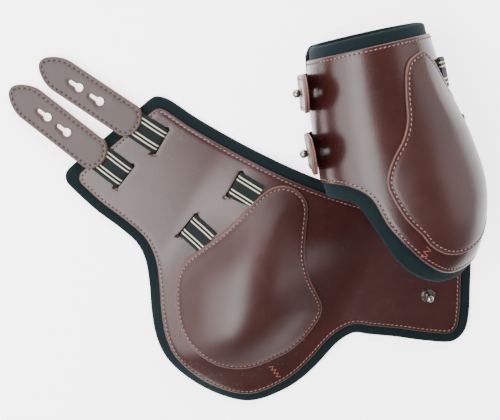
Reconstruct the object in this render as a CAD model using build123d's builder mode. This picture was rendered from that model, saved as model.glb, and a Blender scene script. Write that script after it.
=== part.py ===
"""A mirrored pair of leather tendon boots with neoprene linings.

One lies open, outside up, and the other is buttoned shut and lies on its side.

All sizes are in millimetres. +Z is up and both boots lie on the plane z = 0.
The open boot is drawn in plan.
The closed boot is drawn in its own frame: w across, h up and s along its axis.
"""

import os
from math import atan2, ceil, cos, degrees, hypot, pi, radians, sin

from build123d import *

os.makedirs("parts", exist_ok=True)

# ---- sheet thicknesses ----
LINING = 5.0
LEATHER = 2.5
SHELL_TOP = LINING + LEATHER
INSERT = 3.0
PAD = 6.0
ELASTIC = 1.6
BORDER = 9.5  # how far the lining shows beyond the leather
GAP = 0.15  # clearance on each side of a fold
FIT = 0.1  # clearance round a post, washer or plate

# ---- formed cup of the open boot ----
CUP_CENTRE = (-4.5, -81.0)
LEG_ANGLE = 61.3  # direction of the leg's axis in plan, from the cup to the top edge
CUP_HEIGHT = 35.0
RIDGE_HEIGHT = 6.0
CUP_LENGTH = 97.0  # from the cup's crown to its bottom rim
RIDGE_LENGTH = 130.0
FOLD = 88.0  # from the leg's axis to each fold line
FLAT_TOP = 60.0  # taller than anything on the open boot

# ---- fastenings ----
ELASTIC_WIDTH = 25.0
SLOT_WIDTH = 2.4
SLOT_LENGTH = 26.0
TAB_WIDTH = 30.0
TAB_START = 22.0  # from the outer slot to the tab's round end
TAB_TIP = 124.5
TAB_BACKING = 1.6
TAB_FACE = 2.2
HOLE_RADIUS = 3.75
KEY_WIDTH = 3.6
KEY_STEP = 8.8  # from a keyhole's round hole to its narrow end
KEYHOLES = (62.8, 84.2)  # round holes, from the outer slot
STRAP_KNEE = 27.0  # where the strap leaves the leather and drops to the floor
STRAP_DROP = 3.9  # degrees
STRAP_LIFT = 0.45  # clearance under the strap
STUD_BALL = 3.6
STUD_POST = 1.6
WASHER_RADIUS = 6.3
WASHER = 1.2
PLATE_RADIUS = 6.0
PLATE = 1.0
BALL_CENTRE = 9.1  # above the leather

UPPER_SLOTS = ((-13.4, 25.5), (-78.5, 63.5))
LOWER_SLOTS = ((-55.2, -12.2), (-111.2, 32.3))
STRAP_ANGLES = (146.4, 141.8)
STUDS = ((162.1, -78.0), (168.3, -25.3))

# ---- closed boot: (s, front w, back w, half width h) of the leather's outside ----
CLOSED_ORIGIN = (47.3, 135.3, 48.3)
CLOSED_TURN = 12.8
CLOSED_PITCH = 3.4
STATIONS = (
    (-16, 2, 100.5, 46),
    (0, -1, 101, 46.5),
    (45, -8, 106, 46.5),
    (90, -10.5, 113.5, 45),
    (115, -11, 117.5, 43.5),
    (140, -11, 118, 42),
    (160, -11, 116, 39.5),
    (178, -11, 111, 36),
    (192, -11, 102, 31),
    (206, -11, 88, 24),
)
LAP = 10.5  # how far the strap end stands outside the stud end at the front
CLOSED_STUDS = (25.0, 74.5)
FRONT_SLOPES = (-0.11, -0.05)  # how the front runs outwards along s at each stud
STUD_LIFT = 0.6  # clearance between a flat washer and the curved leather
PLATE_DROP = 1.2
FAR = 80.0  # beyond the closed boot on every side


def leg_frame(x, y):
    """(t, v) of a point in plan: t along the leg's axis from the cup's crown, v across it."""
    dx, dy = x - CUP_CENTRE[0], y - CUP_CENTRE[1]
    c, s = cos(radians(LEG_ANGLE)), sin(radians(LEG_ANGLE))
    return dx * c + dy * s, dx * s - dy * c


def plan_point(t, v):
    c, s = cos(radians(LEG_ANGLE)), sin(radians(LEG_ANGLE))
    return CUP_CENTRE[0] + t * c + v * s, CUP_CENTRE[1] + t * s - v * c


def cup(t, v):
    """Height of the lining's underside over the floor."""
    if t < 0:
        ridge = CUP_HEIGHT * max(0.0, 1 - (t / CUP_LENGTH) ** 2)
    else:
        rise = cos(pi * min(t, RIDGE_LENGTH) / (2 * RIDGE_LENGTH)) ** 2
        ridge = RIDGE_HEIGHT + (CUP_HEIGHT - RIDGE_HEIGHT) * rise
    return ridge * cos(pi * min(abs(v), FOLD) / (2 * FOLD)) ** 2


def inset(sketch, distance):
    """The outline moved inwards, redrawn as plain splines and lines."""
    with BuildSketch() as smaller:
        add(sketch)
        offset(amount=-distance, kind=Kind.ARC)
    edges = []
    for edge in smaller.face().outer_wire().order_edges():
        count = ceil(edge.length / 6)
        points = [edge @ (i / count) for i in range(count + 1)]
        edges.append(Edge.make_spline(points) if count > 1 else Edge.make_line(points[0], points[1]))
    with BuildSketch() as redrawn:
        with BuildLine():
            add(edges)
        make_face()
    return redrawn.sketch


# ---- plan outlines of the open boot ----
with BuildSketch() as lining_outline:
    with BuildLine():
        top = Spline((-71, 99.5), (-45.8, 82.7), (1.8, 56), (61.4, 29.4), (130, 7.5), (191, -6))
        stud_edge = Line((200.3, -14), (201, -93))
        bottom = Spline(
            (201, -93), (198.6, -111), (185.7, -124.6), (160, -122.5), (133.7, -118.8), (108.7, -116.4),
            (96.9, -114.8), (88.2, -118.6), (79.5, -125.6), (63.6, -144.2), (47.5, -160), (29.8, -171.2),
            (0, -180.6), (-29.5, -174.4), (-54.6, -160), (-75.1, -139.7), (-85, -119.4), (-89.6, -96.2),
            (-91.9, -65.8), (-95, -44.9), (-101.9, -30.1), (-115.8, -16.7), (-138.2, 0.9), (-158.5, 20.5),
        )
        strap_edge = Line((-158.9, 40.3), (-87, 100.3))
        SagittaArc(top @ 1, stud_edge @ 0, 3)
        SagittaArc(bottom @ 1, strap_edge @ 0, 6)
        SagittaArc(strap_edge @ 1, top @ 0, 5)
    make_face()

SHELL_OUTLINE = inset(lining_outline.sketch, BORDER)

with BuildSketch() as pad_outline:
    with BuildLine():
        Spline(
            (31.3, 24.9), (41, 21.5), (48.1, 14.5), (51, 6), (49.2, -17), (48.5, -37.8), (53.9, -59),
            (61.6, -75.5), (65.1, -85.5), (63.7, -95), (50.8, -114.4), (36.3, -127.1), (21.7, -133.1),
            (-4, -140.2), (-28.4, -136.6), (-45.6, -126.3), (-58.5, -112.1), (-65, -95.3), (-67.1, -77),
            (-65.6, -58.6), (-58.2, -43.8), (-46.6, -33.7), (-25.6, -17.2), (-2.3, 4.8), (10.2, 17.3),
            (21, 23.8), periodic=True,
        )
    make_face()

INSERT_OUTLINE = inset(pad_outline.sketch, 8)


def band(v_low, v_high):
    """A long strip of the plan between two distances from the leg's axis."""
    with BuildSketch() as strip:
        with BuildLine():
            Polyline(
                plan_point(-200, v_low), plan_point(-200, v_high),
                plan_point(260, v_high), plan_point(260, v_low), close=True,
            )
        make_face()
    return strip.sketch


CENTRE_BAND = band(-FOLD + GAP, FOLD - GAP)
STRAP_BAND = band(-300, -FOLD - GAP)
STUD_BAND = band(FOLD + GAP, 300)

# ---- the cup's formed surface, which every sheet of the centre follows ----
CUP_FACE = Face.make_surface_from_array_of_points(
    [
        [Vector(*plan_point(t, v), cup(t, v)) for v in [-96 + 8 * j for j in range(25)]]
        for t in [-120 + 10 * i for i in range(29)]
    ],
    tol=0.02,
)


def layer(low, high):
    """The formed sheet between two heights over the lining's underside."""
    return Part([Solid.extrude(CUP_FACE.moved(Location((0, 0, low))), Vector(0, 0, high - low))])


def strip_plan(start, end, width):
    """A rectangle in plan from start to end."""
    length = hypot(end[0] - start[0], end[1] - start[1])
    turn = degrees(atan2(end[1] - start[1], end[0] - start[0]))
    with BuildSketch() as strip:
        with Locations(Location(((start[0] + end[0]) / 2, (start[1] + end[1]) / 2, 0), (0, 0, turn))):
            Rectangle(length, width)
    return strip.sketch


def toward(point, angle, distance):
    return point[0] + distance * cos(radians(angle)), point[1] + distance * sin(radians(angle))


def prism(sketch, low, high):
    with BuildPart() as block:
        with BuildSketch(Plane.XY.offset(low)):
            add(sketch)
        extrude(amount=high - low)
    return block.part


# ---- elastics of the open boot ----
PAIRS = {"upper": UPPER_SLOTS, "lower": LOWER_SLOTS}
CHANNEL_FLOOR = LINING - ELASTIC - 0.2
anchors, runs, run_channels, anchor_channels, slots = {}, {}, [], [], []
for name, (inner, outer) in PAIRS.items():
    inward = degrees(atan2(inner[1] - outer[1], inner[0] - outer[0]))
    path = strip_plan(inner, outer, ELASTIC_WIDTH)
    lead = strip_plan(inner, toward(inner, inward, 23), ELASTIC_WIDTH)
    half = ELASTIC / 2
    inner_stub = strip_plan(toward(inner, inward, -half), toward(inner, inward, half), ELASTIC_WIDTH)
    outer_stub = strip_plan(toward(outer, inward, -half), toward(outer, inward, half), ELASTIC_WIDTH)
    half = SLOT_WIDTH / 2
    channel = strip_plan(toward(inner, inward, half), toward(outer, inward, -half), ELASTIC_WIDTH + 0.8)
    for point in (inner, outer):
        slots.append(strip_plan(toward(point, inward, -half), toward(point, inward, half), SLOT_LENGTH))
    with BuildPart() as anchor:
        add(layer(SHELL_TOP + 0.1, SHELL_TOP + 0.1 + ELASTIC))
        add(prism(lead, 0, FLAT_TOP), mode=Mode.INTERSECT)
        with BuildPart(mode=Mode.PRIVATE) as hidden:
            add(layer(CHANNEL_FLOOR + 0.1, CHANNEL_FLOOR + 0.1 + ELASTIC))
            add(prism(path, 0, FLAT_TOP), mode=Mode.INTERSECT)
            add(prism(CENTRE_BAND, 0, FLAT_TOP), mode=Mode.INTERSECT)
        with BuildPart(mode=Mode.PRIVATE) as stub:
            add(layer(CHANNEL_FLOOR + 0.1, SHELL_TOP + 0.1 + ELASTIC))
            add(prism(inner_stub, 0, FLAT_TOP), mode=Mode.INTERSECT)
        add(hidden.part)
        add(stub.part)
    with BuildPart() as run:
        add(prism(path, CHANNEL_FLOOR + 0.1, CHANNEL_FLOOR + 0.1 + ELASTIC))
        add(prism(STRAP_BAND, 0, FLAT_TOP), mode=Mode.INTERSECT)
        add(prism(outer_stub, CHANNEL_FLOOR + 0.1, SHELL_TOP))
    anchor.part.label = f"{name}_elastic_anchor"
    run.part.label = f"{name}_elastic_run"
    anchors[name] = anchor.part
    runs[name] = run.part
    anchor_channels.append(channel)
    run_channels.append(channel)

# ---- centre of the open boot ----
with BuildPart() as cup_lining:
    add(layer(0, LINING))
    add(prism(lining_outline.sketch, -1, FLAT_TOP), mode=Mode.INTERSECT)
    add(prism(CENTRE_BAND, -1, FLAT_TOP), mode=Mode.INTERSECT)
    for channel in anchor_channels:
        with BuildPart(mode=Mode.PRIVATE) as groove:
            add(layer(CHANNEL_FLOOR, LINING + 1))
            add(prism(channel, 0, FLAT_TOP), mode=Mode.INTERSECT)
        add(groove.part, mode=Mode.SUBTRACT)
cup_lining.part.label = "cup_lining"

with BuildPart() as cup_shell:
    add(layer(LINING, SHELL_TOP))
    add(prism(SHELL_OUTLINE, -1, FLAT_TOP), mode=Mode.INTERSECT)
    add(prism(CENTRE_BAND, -1, FLAT_TOP), mode=Mode.INTERSECT)
    for slot in slots:
        add(prism(slot, -1, FLAT_TOP), mode=Mode.SUBTRACT)
cup_shell.part.label = "cup_shell"

with BuildPart() as impact_insert:
    add(layer(SHELL_TOP, SHELL_TOP + INSERT))
    add(prism(INSERT_OUTLINE, 0, FLAT_TOP), mode=Mode.INTERSECT)
impact_insert.part.label = "impact_insert"

with BuildPart() as strike_pad:
    add(layer(SHELL_TOP, SHELL_TOP + PAD))
    add(prism(pad_outline.sketch, 0, FLAT_TOP), mode=Mode.INTERSECT)
    add(impact_insert.part, mode=Mode.SUBTRACT)
    for part in anchors.values():
        add(part, mode=Mode.SUBTRACT)
strike_pad.part.label = "strike_pad"


def washer_at(plane):
    with BuildPart() as washer:
        with BuildSketch(plane):
            Circle(WASHER_RADIUS)
            Circle(STUD_POST + 0.1, mode=Mode.SUBTRACT)
        extrude(amount=WASHER)
        chamfer(washer.faces().sort_by(Axis(plane.origin, plane.z_dir))[-1].outer_wire().edges(), 0.4)
    return washer.part


def stud_at(plane, drop=0.0):
    """Post from the back plate up through the leather, with a ball head."""
    with BuildPart() as stud:
        with BuildSketch(plane.offset(-LEATHER - drop)):
            Circle(STUD_POST)
        extrude(amount=LEATHER + drop + BALL_CENTRE)
        with Locations(plane.offset(BALL_CENTRE)):
            Sphere(STUD_BALL)
    return stud.part


def plate_at(plane):
    with BuildPart() as plate:
        with BuildSketch(plane.offset(-LEATHER - PLATE)):
            Circle(PLATE_RADIUS)
        extrude(amount=PLATE)
    return plate.part


parts = [cup_lining.part, cup_shell.part, impact_insert.part, strike_pad.part]
parts += [*anchors.values(), *runs.values()]

# ---- strap wing ----
with BuildPart() as strap_wing_lining:
    add(prism(lining_outline.sketch, 0, LINING))
    add(prism(STRAP_BAND, -1, FLAT_TOP), mode=Mode.INTERSECT)
    for channel in run_channels:
        add(prism(channel, CHANNEL_FLOOR, LINING + 1), mode=Mode.SUBTRACT)
strap_wing_lining.part.label = "strap_wing_lining"

with BuildPart() as strap_wing_shell:
    add(prism(SHELL_OUTLINE, LINING, SHELL_TOP))
    add(prism(STRAP_BAND, -1, FLAT_TOP), mode=Mode.INTERSECT)
    for slot in slots:
        add(prism(slot, -1, FLAT_TOP), mode=Mode.SUBTRACT)
strap_wing_shell.part.label = "strap_wing_shell"
parts += [strap_wing_lining.part, strap_wing_shell.part]

# ---- stud wing ----
stud_planes = [Plane((x, y, SHELL_TOP)) for x, y in STUDS]
with BuildPart() as stud_wing_lining:
    add(prism(lining_outline.sketch, 0, LINING))
    add(prism(STUD_BAND, -1, FLAT_TOP), mode=Mode.INTERSECT)
    for plane in stud_planes:
        with BuildSketch(plane.offset(-LEATHER)):
            Circle(PLATE_RADIUS + FIT)
        extrude(amount=-PLATE - 0.1, mode=Mode.SUBTRACT)
stud_wing_lining.part.label = "stud_wing_lining"

with BuildPart() as stud_wing_shell:
    add(prism(SHELL_OUTLINE, LINING, SHELL_TOP))
    add(prism(STUD_BAND, -1, FLAT_TOP), mode=Mode.INTERSECT)
    for plane in stud_planes:
        with BuildSketch(plane):
            Circle(STUD_POST + FIT)
        extrude(amount=-LEATHER, mode=Mode.SUBTRACT)
stud_wing_shell.part.label = "stud_wing_shell"
parts += [stud_wing_lining.part, stud_wing_shell.part]

for side, plane in zip(("lower", "upper"), stud_planes):
    fitting = {"stud": stud_at(plane), "washer": washer_at(plane), "back_plate": plate_at(plane)}
    for kind, made in fitting.items():
        made.label = f"{side}_{kind}"
        parts.append(made)


# ---- tabs: local x runs to the tip, z out of the leather ----
def tab_outline(plane, start):
    """The tab's plan: one round end, and a bluntly pointed tip at TAB_TIP."""
    half = TAB_WIDTH / 2
    tip = TAB_TIP - STRAP_KNEE
    with BuildSketch(plane) as outline:
        with BuildLine():
            Line((start + 9, -half), (tip - 20, -half))
            ThreePointArc((tip - 20, -half), (tip - 6, -half * 0.62), (tip, 0))
            ThreePointArc((tip, 0), (tip - 6, half * 0.62), (tip - 20, half))
            Line((tip - 20, half), (start + 9, half))
            ThreePointArc((start + 9, half), (start, 0), (start + 9, -half))
        make_face()
        for hole in KEYHOLES:
            with Locations((hole - STRAP_KNEE, 0)):
                Circle(HOLE_RADIUS, mode=Mode.SUBTRACT)
            with Locations((hole - STRAP_KNEE + KEY_STEP / 2 - KEY_WIDTH / 4, 0)):
                SlotOverall(KEY_STEP + KEY_WIDTH / 2, KEY_WIDTH, mode=Mode.SUBTRACT)
    return outline.sketch


def tab_pieces(name, plane, pocket_end):
    """Face and backing leather of one tab, with the elastic's end between them."""
    start = TAB_START - STRAP_KNEE
    with BuildPart() as backing:
        add(tab_outline(plane, start))
        extrude(amount=TAB_BACKING)
        with BuildSketch(plane):
            with Locations(((start - 6 + pocket_end) / 2, 0)):
                Rectangle(pocket_end - start + 6, ELASTIC_WIDTH + 0.8)
        extrude(amount=TAB_BACKING, mode=Mode.SUBTRACT)
    with BuildPart() as face:
        add(tab_outline(plane.offset(TAB_BACKING + 0.1), start))
        extrude(amount=TAB_FACE)
    backing.part.label = f"{name}_tab_backing"
    face.part.label = f"{name}_tab_face"
    return backing.part, face.part


POCKET_END = 12.0
for (name, (inner, outer)), angle in zip(PAIRS.items(), STRAP_ANGLES):
    out = Vector(cos(radians(angle)), sin(radians(angle)), 0)
    rest = SHELL_TOP + STRAP_LIFT
    knee = Vector(outer[0], outer[1], rest) + out * STRAP_KNEE
    run_dir = out * cos(radians(STRAP_DROP)) - Vector(0, 0, sin(radians(STRAP_DROP)))
    up = Vector(0, 0, cos(radians(STRAP_DROP))) + out * sin(radians(STRAP_DROP))
    tab_plane = Plane(origin=knee, x_dir=run_dir, z_dir=up)
    parts += tab_pieces(name, tab_plane, POCKET_END)
    side_view = Plane(origin=(outer[0], outer[1], rest), x_dir=out, z_dir=out.cross(Vector(0, 0, 1)))
    drop = (POCKET_END - 1) * sin(radians(STRAP_DROP))
    end = STRAP_KNEE + (POCKET_END - 1) * cos(radians(STRAP_DROP))
    with BuildPart() as free_elastic:
        with BuildSketch(side_view):
            with BuildLine():
                Polyline((0, 0), (STRAP_KNEE, 0), (end, -drop), (end, ELASTIC - drop),
                         (STRAP_KNEE, ELASTIC), (0, ELASTIC), close=True)
            make_face()
        extrude(amount=ELASTIC_WIDTH / 2, both=True)
    free_elastic.part.label = f"{name}_strap_elastic"
    parts.append(free_elastic.part)

# ---- closed boot ----
turn, pitch = radians(CLOSED_TURN), radians(CLOSED_PITCH)
AXIS_S = Vector(sin(turn) * cos(pitch), -cos(turn) * cos(pitch), sin(pitch))
AXIS_W = Vector(cos(turn), sin(turn), 0)
AXIS_H = AXIS_S.cross(AXIS_W)
BOOT = Vector(*CLOSED_ORIGIN)
SIDE = Plane(origin=BOOT, x_dir=AXIS_W, z_dir=AXIS_H)  # its local y is -s


def oval(inset, lap):
    """The solid oval tube inset from the leather's outside. lap moves its front outwards."""
    with BuildPart() as tube:
        for s, front, back, half in STATIONS:
            with BuildSketch(Plane(origin=BOOT + AXIS_S * s, x_dir=AXIS_W, z_dir=AXIS_S)):
                with Locations(((front + back - lap) / 2, 0)):
                    Ellipse((back - front + lap) / 2 - inset, half - inset)
        loft()
    return tube.part


def side_prism(sketch, low, high):
    """Extrudes a side view between two heights above the boot's middle plane."""
    with BuildPart() as block:
        with BuildSketch(SIDE.offset(low)):
            add(sketch)
        extrude(amount=high - low)
    return block.part


def side_view_region(top, front_edge, bottom_points, side_cut):
    """A side view, as (w, -s): straight top edge, a front cut and a curved bottom edge."""
    with BuildSketch() as region:
        with BuildLine():
            bottom = Spline(*[(w, -s) for s, w in bottom_points])
            Polyline(bottom @ 1, (side_cut, (bottom @ 1).Y), (side_cut, -top), (front_edge, -top),
                     (front_edge, (bottom @ 0).Y), bottom @ 0)
        make_face()
    return region.sketch


SHELL_BOTTOM = (
    (100, -11), (104, 7.5), (116.2, 23.7), (141.1, 32.6), (165.3, 47),
    (180.4, 58.5), (192, 72), (195, 84.4), (191, 102),
)
LINING_BOTTOM = (
    (113, -11), (119, 9.5), (141.4, 21.5), (173, 34.8),
    (189, 48), (199, 64), (201.5, 80), (199, 93), (192, 106),
)
shell_near = side_view_region(0, -30, SHELL_BOTTOM, 130)
lining_near = side_view_region(-BORDER, -30, LINING_BOTTOM, 130)


def front_at(s):
    """w of the leather's outside at the very front, at station s."""
    for (s0, f0, _, _), (s1, f1, _, _) in zip(STATIONS, STATIONS[1:]):
        if s0 <= s <= s1:
            return f0 + (f1 - f0) * (s - s0) / (s1 - s0)
    return STATIONS[0][1]


def front_cut(distance, side):
    """The side view on one side of a line that follows the front: -1 is before the line, 1 behind it."""
    stations = (-15.9, 0, 45, 90, 205)
    line = [(front_at(s) + distance, -s) for s in stations]
    beyond = 150 * side
    with BuildSketch() as region:
        with BuildLine():
            Polyline((beyond, 15.9), *line, (beyond, -205), close=True)
        make_face()
    return region.sketch


def closed_sheet(outer, inner, region, tongue, strap):
    """A sheet round the closed boot: the stud end's half with its tongue, and the strap end's half."""
    with BuildPart() as near_tube:
        add(oval(outer, 0))
        add(oval(inner, 0), mode=Mode.SUBTRACT)
    with BuildPart() as far_tube:
        add(oval(outer, LAP))
        add(oval(inner, LAP), mode=Mode.SUBTRACT)
    with BuildPart() as near_half:
        add(near_tube.part)
        add(side_prism(region, 0, FAR), mode=Mode.INTERSECT)
    with BuildPart() as under_front:
        add(near_tube.part)
        add(side_prism(region, -FAR, 0), mode=Mode.INTERSECT)
        add(side_prism(tongue, -FAR, 0), mode=Mode.INTERSECT)
    with BuildPart() as far_half:
        add(far_tube.part)
        add(side_prism(region, -FAR, 0), mode=Mode.INTERSECT)
        add(side_prism(strap, -FAR, 0), mode=Mode.INTERSECT)
    with BuildPart() as sheet:
        add(near_half.part)
        add(under_front.part)
        add(far_half.part)
    return sheet.part


closed_shell = closed_sheet(0, LEATHER, shell_near, front_cut(6.5, -1), front_cut(7, 1))
closed_lining = closed_sheet(LEATHER, SHELL_TOP, lining_near, front_cut(14, -1), front_cut(-1, 1))

# ---- closed boot: pad and insert, mostly on the stud end's side ----
with BuildSketch() as closed_pad_view:
    with BuildLine():
        edge = Spline(
            (84, -12), (74, -17), (68.5, -28), (65.8, -43), (63.1, -62), (57, -75.6), (47, -88.6),
            (40.2, -101.7), (39.3, -112), (43.7, -128.3), (57.4, -153.9), (63.6, -165.7),
            (73.2, -174), (81.1, -177.6), (90.6, -178.9), (101.2, -176.9),
            (109.9, -171.3), (114.9, -163.8), (118.5, -158),
        )
        Polyline(edge @ 1, (130, -158), (130, -46), (105, -45))
        Spline(
            (105, -45), (101.5, -38.3), (99.4, -30.2), (97.2, -23.9), (94.2, -18.8), (89.5, -13.5),
            edge @ 0,
        )
    make_face()
with BuildSketch() as closed_pad_far_view:
    with BuildLine():
        far_edge = Spline((104, -47), (106, -62), (109, -90), (111, -125), (113.5, -145), (118.5, -158))
        Polyline(far_edge @ 1, (130, -158), (130, -46), far_edge @ 0)
    make_face()


def oval_ring(outer, inner, lap):
    with BuildPart() as ring:
        add(oval(outer, lap))
        add(oval(inner, lap), mode=Mode.SUBTRACT)
    return ring.part


def ring_piece(ring, view, low, high):
    with BuildPart() as piece:
        add(ring)
        add(side_prism(view, low, high), mode=Mode.INTERSECT)
    return piece.part


def rectangle_view(w_low, w_high, s_low, s_high):
    with BuildSketch() as view:
        with Locations(((w_low + w_high) / 2, -(s_low + s_high) / 2)):
            Rectangle(w_high - w_low, s_high - s_low)
    return view.sketch


closed_insert = ring_piece(oval_ring(-INSERT, 0, 0), inset(closed_pad_view.sketch, 8), 6, FAR)

# ---- closed boot: elastics, which run round the side that faces the floor ----
SIDE_SLOTS = (-20.0, -33.0)  # h of each inner slot, behind the leg
OUTER_SLOT_W = (37.0, 33.0)
ELASTIC_SHIFT = 8.0  # how far down s each elastic leaves its stud's line
ELASTIC_GAP = 0.3  # between a free elastic and the leather under it
CHANNEL_PLAY = 0.4  # past each edge of an elastic
SLOT_HALF = SLOT_WIDTH / 2
SEATED = -20.0  # the elastics' outer ends stay below this h
free_ring = oval_ring(-ELASTIC_GAP - ELASTIC, -ELASTIC_GAP, LAP)
hidden_ring = oval_ring(LEATHER + 0.1, LEATHER + 0.1 + ELASTIC, LAP)
channel_ring = oval_ring(LEATHER - 0.1, LEATHER + 0.2 + ELASTIC, LAP)
stub_ring = oval_ring(-ELASTIC_GAP - ELASTIC, LEATHER + 0.1 + ELASTIC, LAP)
closed_elastics, closed_channels, closed_slots = [], [], []
for s, inner_h, outer_w in zip(CLOSED_STUDS, SIDE_SLOTS, OUTER_SLOT_W):
    low = s + ELASTIC_SHIFT - ELASTIC_WIDTH / 2
    high = low + ELASTIC_WIDTH
    behind = rectangle_view(60, 140, low, high)
    with BuildPart() as elastic:
        add(ring_piece(free_ring, behind, inner_h, inner_h + 20))
        add(ring_piece(stub_ring, behind, inner_h - ELASTIC / 2, inner_h + ELASTIC / 2))
        add(ring_piece(hidden_ring, rectangle_view(outer_w, 140, low, high), -FAR, inner_h))
        outer_stub = rectangle_view(outer_w - ELASTIC / 2, outer_w + ELASTIC / 2, low, high)
        add(ring_piece(stub_ring, outer_stub, -FAR, SEATED))
        add(ring_piece(free_ring, rectangle_view(12, outer_w, low, high), -FAR, SEATED))
    closed_elastics.append(elastic.part)
    low, high = low - CHANNEL_PLAY, high + CHANNEL_PLAY
    channel = rectangle_view(outer_w - SLOT_HALF, 140, low, high)
    inner_slot = rectangle_view(60, 140, low, high)
    outer_slot = rectangle_view(outer_w - SLOT_HALF, outer_w + SLOT_HALF, low, high)
    closed_channels.append(ring_piece(channel_ring, channel, -FAR, inner_h + SLOT_HALF))
    closed_slots.append(side_prism(inner_slot, inner_h - SLOT_HALF, inner_h + SLOT_HALF))
    closed_slots.append(side_prism(outer_slot, -FAR, SEATED))


closed_stud_planes = [
    Plane(
        origin=BOOT + AXIS_W * (front_at(s) - STUD_LIFT) + AXIS_S * s,
        x_dir=AXIS_S + AXIS_W * slope,
        z_dir=AXIS_S * slope - AXIS_W,
    )
    for s, slope in zip(CLOSED_STUDS, FRONT_SLOPES)
]
pad_ring = oval_ring(-PAD, 0, 0)
with BuildPart() as closed_pad_block:
    add(ring_piece(pad_ring, closed_pad_view.sketch, 0, FAR))
    add(ring_piece(pad_ring, closed_pad_far_view.sketch, -FAR, 0))
    add(closed_insert, mode=Mode.SUBTRACT)
    for elastic in closed_elastics:
        add(elastic, mode=Mode.SUBTRACT)
closed_pad = closed_pad_block.part

with BuildPart() as closed_shell_block:
    add(closed_shell)
    for slot in closed_slots:
        add(slot, mode=Mode.SUBTRACT)
    for plane in closed_stud_planes:
        with BuildSketch(plane.offset(3)):
            Circle(STUD_POST + FIT)
        extrude(amount=-LEATHER - 4, mode=Mode.SUBTRACT)
        with BuildSketch(plane):
            Circle(WASHER_RADIUS + FIT)
        extrude(amount=3, mode=Mode.SUBTRACT)
with BuildPart() as closed_lining_block:
    add(closed_lining)
    for channel in closed_channels:
        add(channel, mode=Mode.SUBTRACT)
    for plane in closed_stud_planes:
        with BuildSketch(plane.offset(3)):
            Circle(PLATE_RADIUS + FIT)
        extrude(amount=-LEATHER - PLATE - PLATE_DROP - 3.2, mode=Mode.SUBTRACT)
closed_shell = closed_shell_block.part
closed_lining = closed_lining_block.part


# ---- closed boot: tabs, bent round the strap end and standing up past the studs ----
TAB_STAND_OFF = STUD_LIFT + WASHER + 0.2
ENGAGED = KEYHOLES[0] + KEY_STEP - KEY_WIDTH / 2 + 0.2  # the stud's post, from the outer slot


def station_at(s):
    """Front w, back w and half width at station s."""
    for low, high in zip(STATIONS, STATIONS[1:]):
        if low[0] <= s <= high[0]:
            share = (s - low[0]) / (high[0] - low[0])
            return [a + (b - a) * share for a, b in zip(low[1:], high[1:])]


def bent_path(s, out):
    """(w, h) points of the strap's inner face moved out, from under the boot up past the stud."""
    front, back, half = station_at(s)
    semi = (back - front + LAP) / 2
    centre = (back + front - LAP) / 2
    points = []
    for angle in (62, 54, 46, 38, 31):
        reach = 1.3 + out
        turned = radians(angle)
        points.append((centre - (semi + reach) * cos(turned), -(half + reach) * sin(turned)))
    points.append((front - TAB_STAND_OFF - out, -7))
    return points


def bent_tab(s, slope, stud_plane, low, high, pocket):
    """One sheet of a closed tab between two distances from its inner face."""
    inner = bent_path(s, low)
    outer = bent_path(s, high)
    top = TAB_TIP - ENGAGED
    along = (AXIS_S + AXIS_W * slope).normalized()
    base = BOOT + AXIS_S * s - along * (TAB_WIDTH / 2)
    with BuildPart() as sheet:
        with BuildSketch(Plane(origin=base, x_dir=AXIS_W, z_dir=AXIS_S)):
            with BuildLine():
                inside = Spline(*inner, tangents=[Vector(*inner[1]) - Vector(*inner[0]), (0, 1)])
                outside = Spline(*outer, tangents=[Vector(*outer[1]) - Vector(*outer[0]), (0, 1)])
                Line(inside @ 0, outside @ 0)
                Polyline(inside @ 1, (inner[-1][0], top), (outer[-1][0], top), outside @ 1)
            make_face()
        extrude(amount=TAB_WIDTH, dir=along)
        half = TAB_WIDTH / 2
        with BuildSketch(Plane(origin=stud_plane.origin, x_dir=AXIS_H, z_dir=stud_plane.z_dir)):
            with BuildLine():
                Line((-80, -half), (top - 20, -half))
                ThreePointArc((top - 20, -half), (top - 6, -half * 0.62), (top, 0))
                ThreePointArc((top, 0), (top - 6, half * 0.62), (top - 20, half))
                Polyline((top - 20, half), (-80, half), (-80, -half))
            make_face()
            for hole in KEYHOLES:
                with Locations((hole - ENGAGED, 0)):
                    Circle(HOLE_RADIUS, mode=Mode.SUBTRACT)
                with Locations((hole - ENGAGED + KEY_STEP / 2 - KEY_WIDTH / 4, 0)):
                    SlotOverall(KEY_STEP + KEY_WIDTH / 2, KEY_WIDTH, mode=Mode.SUBTRACT)
        extrude(amount=80, both=True, mode=Mode.INTERSECT)
        add(pocket, mode=Mode.SUBTRACT)
    return sheet.part


for name, s, slope, elastic, plane in zip(
    ("upper", "lower"), CLOSED_STUDS, FRONT_SLOPES, closed_elastics, closed_stud_planes
):
    pieces = {
        "elastic": elastic,
        "tab_backing": bent_tab(s, slope, plane, 0, TAB_BACKING, elastic),
        "tab_face": bent_tab(s, slope, plane, TAB_BACKING + 0.1, TAB_BACKING + TAB_FACE, elastic),
        "stud": stud_at(plane, PLATE_DROP),
        "washer": washer_at(plane),
        "back_plate": plate_at(plane.offset(-PLATE_DROP)),
    }
    for kind, made in pieces.items():
        made.label = f"closed_{name}_{kind}"
        parts.append(made)

for made, label in (
    (closed_shell, "closed_shell"),
    (closed_lining, "closed_lining"),
    (closed_insert, "closed_insert"),
    (closed_pad, "closed_pad"),
):
    made.label = label
    parts.append(made)

# ---- the pair's box is centred on the origin and stands on z = 0 ----
boxes = [part.bounding_box() for part in parts]
LOW = [min(getattr(box.min, side) for box in boxes) for side in "XYZ"]
HIGH = [max(getattr(box.max, side) for box in boxes) for side in "XYZ"]
SHIFT = Vector(-(LOW[0] + HIGH[0]) / 2, -(LOW[1] + HIGH[1]) / 2, 0)
for part in parts:
    placed = part.moved(Location(SHIFT))
    placed.label = part.label
    export_step(placed, f"parts/{part.label}.step")
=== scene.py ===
from math import atan2, cos, pi, radians, sin

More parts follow.
